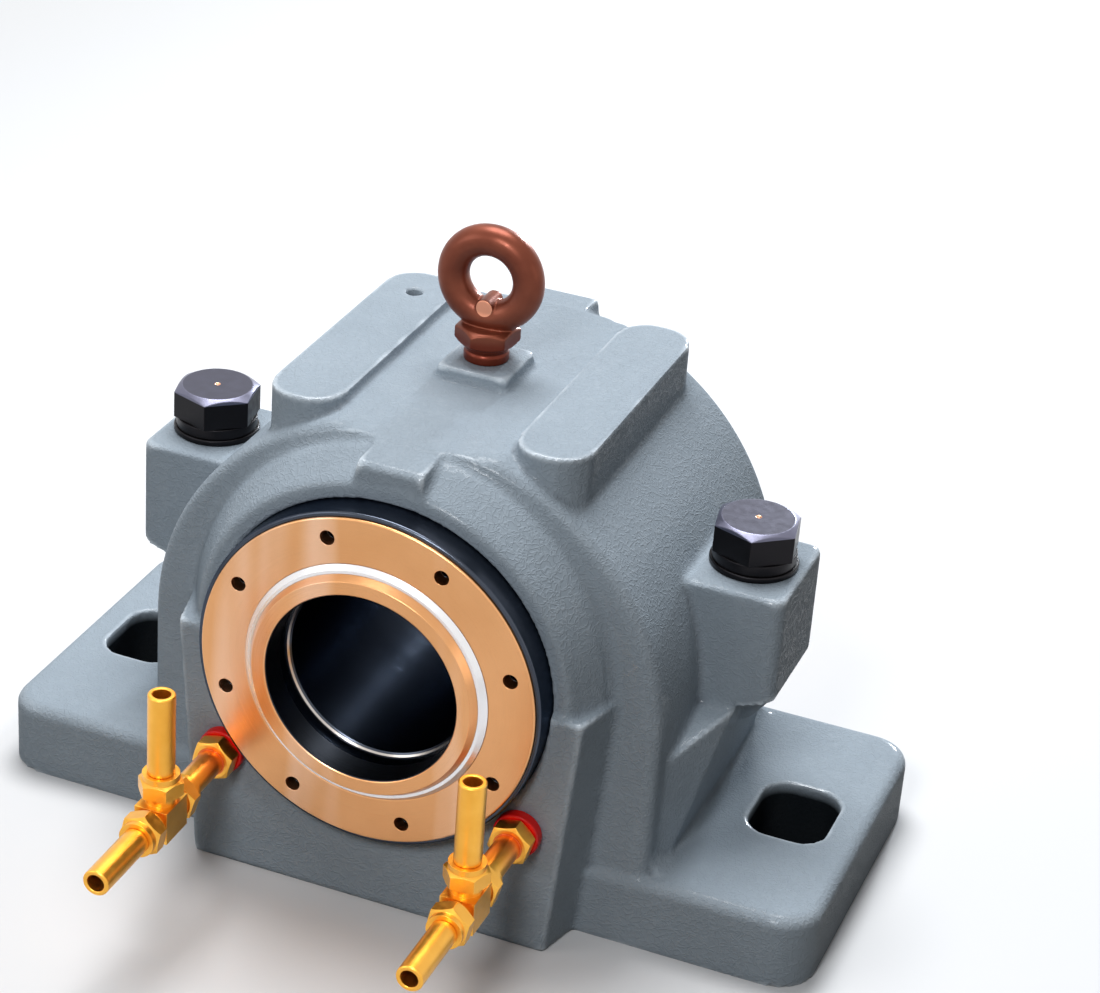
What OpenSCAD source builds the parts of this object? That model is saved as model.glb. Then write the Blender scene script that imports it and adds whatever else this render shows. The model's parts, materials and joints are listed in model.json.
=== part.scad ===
// Split plummer block with a double-row spherical roller bearing on a hollow quill, for an oil circuit.
// The shaft lies along Y, the feet stand on z = 0, and the origin is the centre of the base.
// Front is -Y, the end with the oil fittings.

/* [Housing] */
// Height of the shaft axis above the foot face
shaft_height = 170; // [166:1:190]
// Length of the base across both feet
base_length = 560; // [540:1:600]
// Width of the feet along the shaft
base_width = 236; // [232:1:260]
// Thickness of the feet
foot_thickness = 50; // [40:1:60]
// Plan radius of the feet's corners
foot_corner_r = 26; // [12:1:34]
// Distance from the end of the base to the middle of a foot slot
slot_inset = 48; // [44:1:50]
// Size of a foot slot along the base
slot_length = 52; // [44:1:54]
// Size of a foot slot along the shaft
slot_width = 64; // [50:1:80]
// Corner radius of a foot slot
slot_corner_r = 18; // [8:1:21]
// Length of the cap's barrel along the shaft
barrel_length = 228; // [222:1:236]
// Wall between the bearing seat and the side of the arch
arch_wall = 46; // [45:1:49]
// How far the centre of the arch lies below the shaft axis
arch_drop = 24; // [22:1:28]
// Wall between the bearing seat and the level crown
crown_wall = 14; // [13:1:17]
// Length of the nose in front of the barrel
nose_length = 32; // [26:1:40]
// Wall of the nose around the seal carrier, at its face
nose_wall = 12; // [11:1:15]
// How much the nose widens towards the barrel, on the radius
nose_flare = 12; // [6:1:13]
// How far the base's panels stand proud of the nose
panel_proud = 4; // [2:0.5:8]
// How far a panel reaches past the side of the nose, at the joint
panel_side = 9; // [3:1:13]
// How much narrower a panel is at the floor, on each side
panel_taper = 13; // [0:1:20]
// How much a panel widens towards the body, on each side
panel_flare = 8; // [0:1:12]
// How far a buttress reaches past the middle of its cap bolt
buttress_reach = 10; // [6:1:12]

/* [Cap details] */
// Distance of a cap bolt outside the arch
cap_bolt_offset = 15; // [13:1:19]
// Thread diameter of the cap bolts
cap_bolt_d = 33; // [27:1:33]
// Width of a bolt boss across the shaft
boss_width = 66; // [62:1:72]
// Length of a bolt boss along the shaft
boss_length = 84; // [72:2:92]
// Height of a bolt boss above the joint
boss_height = 52; // [48:1:64]
// Depth of the thread's boss below the joint
boss_depth = 42; // [36:1:50]
// Width of a raised pad
pad_width = 48; // [36:1:52]
// Length of a raised pad along the shaft
pad_length = 208; // [180:1:212]
// Distance between the centres of the pads
pad_spacing = 162; // [156:1:170]
// Height of the pads above the crown
pad_rise = 7; // [4:1:10]
// Diameter of the drilled hole in the left pad
pad_hole_d = 11; // [6:1:14]
// Size of the eye bolt's boss across the shaft
eye_boss_w = 48; // [44:1:56]
// Size of the eye bolt's boss along the shaft
eye_boss_l = 50; // [44:1:56]
// Height of the eye bolt's boss above the crown
eye_boss_rise = 9; // [6:1:14]
// Width of the lug on top of each nose
lug_width = 42; // [30:1:50]

/* [Eye bolt] */
// Mean diameter of the eye
eye_mean_d = 50; // [46:1:56]
// Diameter of the eye's round section
eye_section_d = 20; // [16:1:22]
// Height of the eye's centre above its boss
eye_rise = 54; // [50:1:60]
// Thread diameter of the eye bolt
eye_thread_d = 20; // [16:1:24]
// Turn of the eye about its thread
eye_turn = 0; // [-30:1:45]

/* [Bearing] */
// Bore of the bearing
bearing_bore = 140; // [136:1:142]
// Outside diameter of the bearing
bearing_d = 250; // [246:1:252]
// Width of the bearing
bearing_width = 68; // [66:1:72]
// Thickness of the outer ring in the middle of its spherical track
track_wall = 11; // [9:0.5:12]
// Diameter of a roller
roller_d = 30; // [28:1:31]
// Length of a roller
roller_length = 26; // [22:1:27]
// Lean of the rollers
roller_lean = 9.5; // [9:0.1:10.5]
// Rollers in a row
roller_count = 17; // [13:1:17]
// Width of a locating ring
locating_width = 15; // [10:1:18]

/* [Quill and seals] */
// Bore for the shaft
shaft_bore = 120; // [116:1:122]
// Length of the quill
quill_length = 290; // [270:1:300]
// Outside diameter of the quill's ends
quill_end_d = 132; // [130:1:134]
// Bore of the bronze shaft rings
ring_bore = 125; // [124:1:128]
// Outside diameter of the shaft rings and spacers
ring_d = 150; // [146:1:152]
// Radial thickness of the white seal ring
seal_thickness = 5; // [4:0.5:6]
// Thickness of a bronze cover plate
cover_thickness = 10; // [8:1:14]
// How much smaller than the bearing seat the bore for a seal carrier is, on the radius
carrier_step = 12; // [11:1:12]
// Width of the carrier's rim round the cover plate
rim_width = 3; // [3:0.5:6]
// How far the cover plate stands out of the nose
cover_reach = 20; // [16:1:32]
// Distance from the edge of a cover plate to its tapped holes
cover_hole_inset = 13; // [11:1:15]
// Diameter of the tapped holes
cover_hole_d = 9.5; // [8:0.5:12]
// Number of tapped holes
cover_holes = 8; // [6:1:10]
// Turn of the tapped holes about the shaft
cover_hole_turn = 28; // [0:0.5:45]

/* [Oil fittings] */
// Distance of an oil port inside the side of the bearing seat
port_inset = 25; // [22:1:29]
// Height of an oil port above the bottom of the bearing seat
port_rise = 41; // [31:1:42]
// Diameter of the feed tube between port and tee
feed_tube_d = 17; // [13:0.5:18]
// Distance from the panel to the middle of the tee
tee_reach = 85; // [80:1:95]
// Distance from the middle of the tee to the end of the front tube
front_tube_reach = 80; // [70:1:95]
// Height of the top tube's end above the port
top_tube_reach = 86; // [62:1:92]
// Outside diameter of the front and top tubes
tube_d = 17; // [15:0.5:18]
// Bore of the tubes
tube_bore = 11; // [8:0.5:12]
// Size of the fittings' hexagons across flats
fitting_hex = 25; // [23:0.5:27]

/* [Hidden] */

$fn = 96;

// Colours
paint = [0.53, 0.58, 0.62];
black_steel = [0.08, 0.08, 0.1];
bright_steel = [0.75, 0.76, 0.78];
bronze = [0.85, 0.6, 0.4];
seal_white = [0.92, 0.92, 0.95];
eye_paint = [0.38, 0.17, 0.12];
brass = [0.85, 0.6, 0.15];
seal_red = [0.8, 0.1, 0.08];
spacer_steel = [0.12, 0.12, 0.15];

// Clearances
seat_gap = 0.05;
roller_gap = 0.3;
seal_gap = 0.08;
groove_gap = 0.1;
labyrinth_gap = 1.2;
thread_gap = 0.15;
bolt_hole_gap = 1.5;

// Housing levels and planes
eps = 0.01;
seat_r = bearing_d / 2;
barrel_half = barrel_length / 2;
arch_r = seat_r + arch_wall;
arch_z = shaft_height - arch_drop;
nose_y = barrel_half + nose_length;
nose_bore_r = seat_r - carrier_step;
nose_r = nose_bore_r + nose_wall;
panel_y = nose_y + panel_proud;
panel_half_w = nose_r + panel_side;
crown_height = seat_r + crown_wall;
crown_z = shaft_height + crown_height;
boss_top = shaft_height + boss_height;
boss_bottom = shaft_height - boss_depth;
bolt_x = arch_r + cap_bolt_offset;
slot_x = base_length / 2 - slot_inset;
buttress_x = bolt_x + buttress_reach;
buttress_top = shaft_height - 30;
buttress_end_top = buttress_top - 20;
buttress_foot_x = arch_r + 5;
edge_r = 8;
root_fillet_r = 14;
far = base_length;

// Bore of the housing
seat_half = bearing_width / 2 + locating_width;
chamber_r = seat_r - 6;
chamber_end = barrel_half - 26;
groove_r = nose_bore_r + 5;
groove_in = chamber_end + 36;
groove_out = groove_in + 8;
sump_floor = shaft_height - seat_r + 1;
sump_in = seat_half + 5;
sump_out = chamber_end - 4;
port_r = 8.3;
port_x = seat_r - port_inset;
port_height = shaft_height - seat_r + port_rise;
sump_half_x = port_x + 12;

// Cored pockets under the base
core_x = port_x;
core_y = barrel_half - 19;
core_wall = 20;
core_rib = 24;
core_roof = sump_floor - core_wall;
flank_depth = foot_thickness - 14;

// Faces of the seals, counted outwards from the middle
face_y = nose_y + cover_reach;
cover_back = face_y - cover_thickness;
rim_y = face_y - 2;
ring_proud = 8;
seal_proud = 3;
cone_run = 3;
ring_r = ring_d / 2;
seal_in_r = ring_r + seal_gap;
seal_out_r = seal_in_r + seal_thickness;
cover_d = 2 * (nose_bore_r - rim_width);
cover_pcd = cover_d - 2 * cover_hole_inset;
seal_depth = 13;
labyrinth_width = 11;
seal_back = cover_back - seal_depth;
labyrinth_back = seal_back - labyrinth_width;
quill_end = quill_length / 2;
quill_end_r = quill_end_d / 2;
ring_back = face_y - 12;
carrier_back = chamber_end + 4;
carrier_wall = 9;
flinger_y = carrier_back + 4;
flinger_rise = 20;
flinger_width = 6;
flinger_lean = 3;

// Bearing
race_r = bearing_bore / 2;
track_r = seat_r - track_wall;
bearing_half = bearing_width / 2;
shoulder_rise = 9;
shoulder_width = 12;
quill_step = bearing_half + 32;
roller_r = roller_d / 2;
roller_reach = track_r - roller_gap - roller_r;
row_r = roller_reach * cos(roller_lean);
row_y = roller_reach * sin(roller_lean);
cage_in_r = row_r - 5;
cage_out_r = row_r + 5;
cage_half = bearing_half + 2;
washer_t = 3;
nut_width = 21;
nut_r = race_r + 18;

// Fasteners
bolt_r = cap_bolt_d / 2;
bolt_hex = cap_bolt_d + 17;
bolt_head = 21;
plain_washer_t = 4;
spring_washer_t = 7;
bolt_reach = boss_depth - 9;
dowel_r = 5;
dowel_x = (chamber_r + arch_r) / 2 - 3;
dowel_y = chamber_end - 6;
eye_boss_top = crown_z + eye_boss_rise;
eye_stud = 16;
eye_hex_h = 12;
eye_sink = 4;

// Oil fittings
washer_thick = 8;
port_hex_l = 12;
port_thread_l = 22;
feed_nut_l = 14;
tee_half = 16;
end_nut_l = 15;
nut_collar_l = 4;
tube_r = tube_d / 2;
feed_r = feed_tube_d / 2;
bore_r = tube_bore / 2;
feed_bore_r = bore_r - 1;
tube_step = 0.5;
nut_stop = 0.3;

// Outline helpers

// Half outline of points above y = 0, closed with its mirror image below
function both_ways(points) = concat(points, [
    for (i = [len(points) - 1 : -1 : 0]) [points[i][0], -points[i][1]]
]);

// Half outline of a body with a rounded top corner
module edge_profile(w, h, r) {
    square([w, h - r]);
    square([w - r, h]);
    translate([w - r, h - r]) circle(r);
}

// Block with vertical corners of radius rc and its top edge rounded by re, standing on z = 0
module soft_block(l, w, h, rc, re) {
    for (m = [0, 1]) mirror([m, 0, 0]) {
        rotate([90, 0, 0]) linear_extrude(w - 2 * rc, center = true) edge_profile(l / 2, h, re);
    }
    for (m = [0, 1]) mirror([0, m, 0]) {
        rotate([90, 0, 90]) linear_extrude(l - 2 * rc, center = true) edge_profile(w / 2, h, re);
    }
    for (sx = [-1, 1], sy = [-1, 1]) {
        translate([sx * (l / 2 - rc), sy * (w / 2 - rc), 0]) rotate_extrude() edge_profile(rc, h, re);
    }
}

// Rounded rectangle with true round corners
module round_rect(l, w, r) {
    square([l - 2 * r, w], center = true);
    square([l, w - 2 * r], center = true);
    for (sx = [-1, 1], sy = [-1, 1]) translate([sx * (l / 2 - r), sy * (w / 2 - r)]) circle(r);
}

// Concave fillet along Y in the corner between a wall facing +X and a floor
module fillet_bar(length, r) {
    rotate([90, 0, 0]) linear_extrude(length, center = true) difference() {
        translate([-4, -4]) square([r + 4, r + 4]);
        translate([r, r]) circle(r);
    }
}

// Turns a profile of [radius, y] about the shaft axis
module about_shaft() {
    translate([0, 0, shaft_height]) rotate([-90, 0, 0]) rotate_extrude() children();
}

module above_joint() {
    translate([-far, -far, shaft_height]) cube(2 * far);
}

module hex_bar(across, length) {
    cylinder(r = across / sqrt(3), h = length, $fn = 6);
}

// Hexagon along Z with its corners chamfered at the ends that are asked for
module hex_nut(across, length, low = true, high = true) {
    c = across * 0.07;
    intersection() {
        hex_bar(across, length);
        rotate_extrude() polygon([
            [0, 0],
            [across / sqrt(3) - (low ? c * 1.7 : 0), 0],
            [across / sqrt(3) + 0.1, low ? c : 0],
            [across / sqrt(3) + 0.1, length - (high ? c : 0)],
            [across / sqrt(3) - (high ? c * 1.7 : 0), length],
            [0, length]
        ]);
    }
}

// Housing

// Arched barrel with rounded ends, cut level at the crown
module barrel() {
    intersection() {
        translate([0, 0, arch_z]) rotate([-90, 0, 0]) rotate_extrude()
            for (m = [0, 1]) mirror([0, m]) edge_profile(arch_r, barrel_half, edge_r);
        translate([0, 0, arch_z]) rotate([90, 0, 90]) linear_extrude(2 * far, center = true)
            for (m = [0, 1]) mirror([m, 0]) edge_profile(barrel_half, arch_drop + crown_height, edge_r);
    }
}

// Tapered noses at both ends, with a fillet where they leave the barrel
module noses() {
    root = nose_r + nose_flare;
    fr = 7;
    intersection() {
        about_shaft() polygon(both_ways(concat(
            [[0, nose_y], [nose_r - 3, nose_y], [nose_r, nose_y - 3], [root, barrel_half + fr]],
            [for (a = [75 : -15 : 15]) [root + fr - fr * sin(a), barrel_half + fr - fr * cos(a)]],
            [[root + fr, barrel_half]]
        )));
        translate([-far, -far, shaft_height - far]) cube([2 * far, 2 * far, far + crown_height]);
    }
}

// Lug on the top of a nose, flush with the crown at the barrel and dropping towards the face
module lug() {
    drop = 3;
    low = nose_r - 20;
    intersection() {
        translate([0, 0, shaft_height]) rotate([90, 0, 90]) linear_extrude(2 * lug_width, center = true)
            polygon([
                [-nose_y + 1, low], [-nose_y + 1, crown_height - drop - 3],
                [-nose_y + 4, crown_height - drop], [-barrel_half + 9, crown_height],
                [-barrel_half + 9, low]
            ]);
        translate([0, 0, shaft_height]) rotate([90, 0, 0]) linear_extrude(2 * nose_y, center = true)
            polygon([
                [-lug_width / 2 - 4, low], [-lug_width / 2, crown_height],
                [lug_width / 2, crown_height], [lug_width / 2 + 4, low]
            ]);
    }
}

// Stepped bore that both halves share: bearing seat, oil chambers, carrier bores and grooves
module housing_bore() {
    about_shaft() polygon(both_ways([
        [0, panel_y + 5], [nose_bore_r, panel_y + 5], [nose_bore_r, groove_out], [groove_r, groove_out],
        [groove_r, groove_in], [nose_bore_r, groove_in], [nose_bore_r, chamber_end],
        [chamber_r, chamber_end], [chamber_r, seat_half], [seat_r, seat_half]
    ]));
}

module dowels(r, extra) {
    for (s = [-1, 1]) translate([s * dowel_x, s * dowel_y, shaft_height - 14 - extra])
        cylinder(r = r, h = 28 + 2 * extra);
}

module housing_base() color(paint) difference() {
    union() {
        soft_block(base_length, base_width, foot_thickness, foot_corner_r, edge_r);
        base_body();
        base_panels();
        for (s = [-1, 1]) {
            base_buttress(s);
            base_boss(s);
            translate([s * arch_r, 0, foot_thickness]) rotate([0, 0, s < 0 ? 180 : 0])
                fillet_bar(barrel_length - 2 * edge_r, root_fillet_r);
        }
    }
    housing_bore();
    sump();
    coring();
    for (s = [-1, 1]) {
        translate([s * slot_x, 0, -1]) linear_extrude(foot_thickness + 2)
            round_rect(slot_length, slot_width, slot_corner_r);
        translate([s * bolt_x, 0, shaft_height - bolt_reach - 6])
            cylinder(r = bolt_r, h = bolt_reach + 7);
        translate([s * port_x, -panel_y - 1, port_height]) rotate([-90, 0, 0])
            cylinder(r = port_r, h = panel_y + 1 - sump_out + 5);
    }
    dowels(dowel_r, 1);
}

// Body between the feet, with the foot of the arch on top
module base_body() {
    translate([0, 0, 1]) linear_extrude(arch_z - 1) round_rect(2 * arch_r, barrel_length, edge_r);
    intersection() {
        barrel();
        translate([-far, -far, arch_z]) cube([2 * far, 2 * far, arch_drop]);
    }
}

// Flat panels that carry the oil ports, front and rear, leaning in towards the floor
module base_panels() {
    turn = atan(panel_flare / nose_length);
    lean = atan(panel_taper / shaft_height);
    difference() {
        translate([-panel_half_w - panel_flare, -panel_y, 0])
            cube([2 * (panel_half_w + panel_flare), 2 * panel_y, shaft_height]);
        for (mx = [0, 1], my = [0, 1]) mirror([mx, 0, 0]) mirror([0, my, 0])
            translate([panel_half_w, panel_y, shaft_height]) rotate([0, 0, turn]) rotate([0, lean, 0])
                translate([0, -panel_y / 2, -far]) cube([far, far, 2 * far]);
    }
}

// Buttress that widens from the foot up to the bolt boss and slopes down along the shaft
module base_buttress(s) {
    end_y = barrel_half - edge_r;
    intersection() {
        linear_extrude(shaft_height) polygon([
            [s * 100, -end_y], [s * (arch_r - 5), -end_y], [s * buttress_x, -boss_length / 2],
            [s * buttress_x, boss_length / 2], [s * (arch_r - 5), end_y], [s * 100, end_y]
        ]);
        rotate([90, 0, 90]) linear_extrude(2 * far, center = true) polygon([
            [-end_y, 1], [-end_y, buttress_end_top], [-boss_length / 2, buttress_top],
            [boss_length / 2, buttress_top], [end_y, buttress_end_top], [end_y, 1]
        ]);
        rotate([90, 0, 0]) linear_extrude(2 * far, center = true) polygon([
            [s * 100, 1], [s * buttress_foot_x, 1], [s * buttress_foot_x, foot_thickness],
            [s * buttress_x, buttress_top], [s * 100, buttress_top]
        ]);
    }
}

// Lower half of a bolt boss, sloped underneath, with a round boss for the thread
module base_boss(s) {
    inner = bolt_x - boss_width / 2;
    outer = bolt_x + boss_width / 2;
    intersection() {
        translate([s * bolt_x, 0, foot_thickness]) linear_extrude(shaft_height - foot_thickness)
            round_rect(boss_width, boss_length, edge_r);
        rotate([90, 0, 0]) linear_extrude(boss_length, center = true) polygon([
            [s * inner, shaft_height], [s * outer, shaft_height], [s * outer, buttress_top + 10],
            [s * (buttress_x - 2), buttress_top + 2], [s * (buttress_x - 8), buttress_top - 6],
            [s * inner, buttress_top - 6]
        ]);
    }
    translate([s * bolt_x, 0, boss_bottom - 15]) cylinder(r1 = bolt_r - 6, r2 = bolt_r + 5, h = 15);
    translate([s * bolt_x, 0, boss_bottom]) cylinder(r = bolt_r + 5, h = boss_depth - 5);
}

// Oil space below the bearing, joined under the seat by two channels
module sump() {
    for (m = [0, 1]) mirror([0, m, 0]) translate([-sump_half_x, sump_in, sump_floor])
        cube([2 * sump_half_x, sump_out - sump_in, shaft_height - sump_floor - 40]);
    for (s = [-1, 1]) translate([s * (port_x - 22), 0, sump_floor + 8]) rotate([90, 0, 0])
        cylinder(r = 6, h = 2 * sump_in + 4, center = true);
}

// Cored pockets under the base, as the casting has
module coring() {
    flank_in = core_x + core_wall;
    flank_out = slot_x - slot_length / 2 - core_wall / 2;
    for (s = [-1, 1]) {
        translate([s * (core_x + core_rib / 2) / 2, 0, -1]) linear_extrude(core_roof + 1)
            round_rect(core_x - core_rib / 2, 2 * core_y, 12);
        translate([s * (flank_in + flank_out) / 2, 0, -1]) linear_extrude(flank_depth)
            round_rect(flank_out - flank_in, base_width - 3 * core_wall, 10);
    }
}

module housing_cap() color(paint) difference() {
    intersection() {
        union() {
            barrel();
            noses();
            for (m = [0, 1]) mirror([0, m, 0]) lug();
            for (s = [-1, 1]) {
                cap_boss(s);
                translate([s * pad_spacing / 2, 0, crown_z - 50]) linear_extrude(50 + pad_rise)
                    pad_outline();
            }
            translate([0, 0, crown_z - 10])
                soft_block(eye_boss_w, eye_boss_l, 10 + eye_boss_rise, 5, 2.5);
        }
        above_joint();
    }
    housing_bore();
    for (s = [-1, 1]) translate([s * bolt_x, 0, shaft_height - 1])
        cylinder(r = bolt_r + bolt_hole_gap, h = boss_height + 2);
    translate([0, 0, eye_boss_top - eye_stud - 2])
        cylinder(d = eye_thread_d + 2 * thread_gap, h = eye_stud + 3);
    translate([-pad_spacing / 2, pad_length / 2 - 32, crown_z + pad_rise - 14])
        cylinder(d = pad_hole_d, h = 15);
    dowels(dowel_r, 1);
}

// Raised pad with its ends swept round in short flats
module pad_outline() {
    r = pad_width / 2 - 2;
    polygon([
        for (q = [[1, 1, 0], [-1, 1, 90], [-1, -1, 180], [1, -1, 270]], a = [0 : 18 : 90])
            [q[0] * (pad_width / 2 - r) + r * cos(q[2] + a), q[1] * (pad_length / 2 - r) + r * sin(q[2] + a)]
    ]);
}

// Upper half of a bolt boss, carried into the barrel's wall
module cap_boss(s) {
    inner = (seat_r + arch_r) / 2 - 8;
    outer = bolt_x + boss_width / 2;
    translate([s * (inner + outer) / 2, 0, shaft_height - 10])
        soft_block(outer - inner, boss_length, boss_height + 10, edge_r, 3);
}

// Fasteners

// Hexagon head with a chamfered top and a small centre hole, and its shank below
module cap_bolt(s) color(black_steel)
    translate([s * bolt_x, 0, boss_top + plain_washer_t + spring_washer_t]) {
    difference() {
        rotate([0, 0, 12]) hex_nut(bolt_hex, bolt_head, false, true);
        translate([0, 0, bolt_head - 1.5]) cylinder(r1 = 0.5, r2 = 1.8, h = 1.5 + eps);
    }
    shank = boss_height + plain_washer_t + spring_washer_t + bolt_reach;
    translate([0, 0, -shank]) cylinder(r = bolt_r - thread_gap, h = shank);
}

module left_cap_bolt() { cap_bolt(-1); }
module right_cap_bolt() { cap_bolt(1); }

// Split spring washer
module spring_washer(s) color(black_steel)
    translate([s * bolt_x, 0, boss_top + plain_washer_t]) difference() {
    cylinder(d = bolt_hex + 3, h = spring_washer_t);
    translate([0, 0, -1]) cylinder(r = bolt_r + 0.4, h = spring_washer_t + 2);
    translate([0, bolt_hex / 2, spring_washer_t / 2]) rotate([0, 25, 0])
        cube([1.6, bolt_hex, 3 * spring_washer_t], center = true);
}

module left_bolt_spring_washer() { spring_washer(-1); }
module right_bolt_spring_washer() { spring_washer(1); }

module plain_washer(s) color(black_steel) translate([s * bolt_x, 0, boss_top]) difference() {
    cylinder(d = bolt_hex + 6, h = plain_washer_t);
    translate([0, 0, -1]) cylinder(r = bolt_r + 0.8, h = plain_washer_t + 2);
}

module left_bolt_washer() { plain_washer(-1); }
module right_bolt_washer() { plain_washer(1); }

module dowel_pins() color(bright_steel) dowels(dowel_r - seat_gap, 0);

// Forged eye sunk into a hexagon, on a grooved collar, screwed into the crown
module eye_bolt() color(eye_paint) translate([0, 0, eye_boss_top]) {
    collar_r = eye_thread_d * 0.72;
    hex = eye_thread_d * 1.8;
    hex_top = eye_rise - eye_mean_d / 2 - eye_section_d / 2 + eye_sink;
    rotate([0, 0, eye_turn]) {
        translate([0, 0, eye_rise]) rotate([90, 0, 0]) rotate_extrude()
            translate([eye_mean_d / 2, 0]) circle(d = eye_section_d);
        rotate([0, 0, 22]) translate([0, 0, hex_top - eye_hex_h]) hex_nut(hex, eye_hex_h);
    }
    rotate_extrude() polygon([
        [0, 0], [collar_r, 0], [collar_r, 5.5], [collar_r - 1, 6.5], [collar_r - 1, 7.5], [collar_r, 8.5],
        [collar_r, hex_top - eye_hex_h + 2], [0, hex_top - eye_hex_h + 2]
    ]);
    translate([0, 0, -eye_stud]) cylinder(d = eye_thread_d, h = eye_stud + 1);
}

// Seals and covers, drawn for the rear end; the front end is their mirror image

module front_end() {
    mirror([0, 1, 0]) children();
}

module hole_ring(r, from, to) {
    for (i = [0 : cover_holes - 1]) {
        a = cover_hole_turn + i * 360 / cover_holes;
        translate([cover_pcd / 2 * sin(a), from, shaft_height + cover_pcd / 2 * cos(a)])
            rotate([-90, 0, 0]) cylinder(r = r, h = to - from);
    }
}

module cover_plate() color(bronze) difference() {
    about_shaft() polygon([
        [seal_out_r + seat_gap, cover_back], [cover_d / 2, cover_back], [cover_d / 2, face_y - 0.8],
        [cover_d / 2 - 0.8, face_y], [seal_out_r + seat_gap + 0.5, face_y],
        [seal_out_r + seat_gap, face_y - 0.5]
    ]);
    hole_ring(cover_hole_d / 2, cover_back - 1, face_y + 1);
}

module seal_carrier() color(black_steel) difference() {
    outer = nose_bore_r - seat_gap;
    collar = groove_r - groove_gap;
    pocket = seal_out_r + seat_gap;
    labyrinth = ring_r + labyrinth_gap;
    about_shaft() polygon([
        [outer, carrier_back], [outer, groove_in + groove_gap], [collar, groove_in + groove_gap],
        [collar, groove_out - groove_gap], [outer, groove_out - groove_gap],
        [outer, rim_y - 1], [outer - 1, rim_y], [cover_d / 2 + seat_gap, rim_y],
        [cover_d / 2 + seat_gap, cover_back], [pocket, cover_back], [pocket, seal_back],
        [labyrinth, seal_back], [labyrinth, labyrinth_back], [outer - carrier_wall, labyrinth_back - 4],
        [outer - carrier_wall, carrier_back]
    ]);
    hole_ring(cover_hole_d / 2, cover_back - 10, cover_back + 1);
}

// White seal, its outer edge coned back to the cover plate
module seal_ring() color(seal_white) about_shaft() polygon([
    [seal_in_r, seal_back + eps], [seal_out_r, seal_back + eps], [seal_out_r, face_y],
    [seal_out_r - cone_run, face_y + seal_proud], [seal_in_r, face_y + seal_proud]
]);

// Bronze ring that stands out of the seal, coned outside
module shaft_ring() color(bronze) about_shaft() polygon([
    [ring_bore / 2, ring_back], [ring_r, ring_back], [ring_r, face_y + seal_proud],
    [ring_r - cone_run, face_y + ring_proud], [ring_bore / 2 + 1.2, face_y + ring_proud],
    [ring_bore / 2, face_y + ring_proud - 1.2]
]);

// Distance sleeve over the quill's end, with a flange that throws oil off
module spacer() color(spacer_steel) about_shaft() polygon([
    [quill_end_r, quill_step], [ring_r, quill_step], [ring_r, flinger_y],
    [ring_r + flinger_rise, flinger_y], [ring_r + flinger_rise - flinger_lean, flinger_y + flinger_width],
    [ring_r, flinger_y + flinger_width], [ring_r, ring_back], [ring_bore / 2, ring_back], [ring_bore / 2, quill_end], [quill_end_r, quill_end]
]);

module rear_cover_plate() { cover_plate(); }
module front_cover_plate() { front_end() cover_plate(); }
module rear_seal_carrier() { seal_carrier(); }
module front_seal_carrier() { front_end() seal_carrier(); }
module rear_seal_ring() { seal_ring(); }
module front_seal_ring() { front_end() seal_ring(); }
module rear_shaft_ring() { shaft_ring(); }
module front_shaft_ring() { front_end() shaft_ring(); }
module rear_spacer() { spacer(); }
module front_spacer() { front_end() spacer(); }

// Quill and bearing

// Hollow quill with a shoulder behind the bearing and chamfered mouths
module bore_quill() color(black_steel) about_shaft() polygon([
    [shaft_bore / 2 + 2, -quill_end], [quill_end_r, -quill_end], [quill_end_r, -quill_step],
    [race_r, -quill_step], [race_r, bearing_half], [race_r + shoulder_rise, bearing_half],
    [race_r + shoulder_rise, bearing_half + shoulder_width], [race_r, bearing_half + shoulder_width],
    [race_r, quill_step],
    [quill_end_r, quill_step], [quill_end_r, quill_end], [shaft_bore / 2 + 2, quill_end],
    [shaft_bore / 2, quill_end - 2], [shaft_bore / 2, -quill_end + 2]
]);

// Slotted nut that holds the bearing against the quill's shoulder
module lock_nut() color(bright_steel) difference() {
    about_shaft() translate([0, -bearing_half - washer_t - nut_width]) polygon([
        [race_r, 0], [nut_r - 4, 0], [nut_r, 4], [nut_r, nut_width], [race_r, nut_width]
    ]);
    for (a = [0 : 90 : 270]) translate([0, 0, shaft_height]) rotate([0, a, 0])
        translate([nut_r, -bearing_half - washer_t - nut_width / 2, 0])
            cube([14, nut_width + 2, 14], center = true);
}

module lock_washer() color(bright_steel) {
    about_shaft() translate([0, -bearing_half - washer_t]) polygon([
        [race_r, 0], [nut_r - 8, 0], [nut_r - 8, washer_t], [race_r, washer_t]
    ]);
    teeth = 13;
    for (i = [0 : teeth - 1]) translate([0, 0, shaft_height]) rotate([0, i * 360 / teeth, 0])
        translate([nut_r - 9, -bearing_half - washer_t, -4]) cube([6, washer_t, 8]);
}

// Radius of a roller at a distance t from its middle
function roller_profile(t) = sqrt(pow(roller_reach + roller_r, 2) - t * t) - roller_reach;

// Point of the inner track below a roller, as [radius, y]
function track_point(t) = [
    row_r - (roller_profile(t) + roller_gap) * cos(roller_lean) - t * sin(roller_lean),
    row_y - (roller_profile(t) + roller_gap) * sin(roller_lean) + t * cos(roller_lean)
];

module bearing_inner_ring() color(bright_steel) {
    half_l = roller_length / 2 + 0.6;
    rib = track_point(-half_l)[0];
    about_shaft() polygon(both_ways(concat(
        [[race_r, bearing_half], [rib - 3, bearing_half], [rib - 2, bearing_half - 1],
            [rib - 2, track_point(half_l)[1] + 0.6]],
        [for (i = [4 : -1 : -4]) track_point(half_l * i / 4)]
    )));
}

module bearing_outer_ring() color(bright_steel) {
    outer = seat_r - seat_gap;
    about_shaft() difference() {
        polygon(both_ways([
            [track_r - 20, bearing_half], [outer - 2, bearing_half], [outer, bearing_half - 2],
            [outer, 5], [outer - 2, 5]
        ]));
        circle(track_r, $fn = 240);
    }
}

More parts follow.
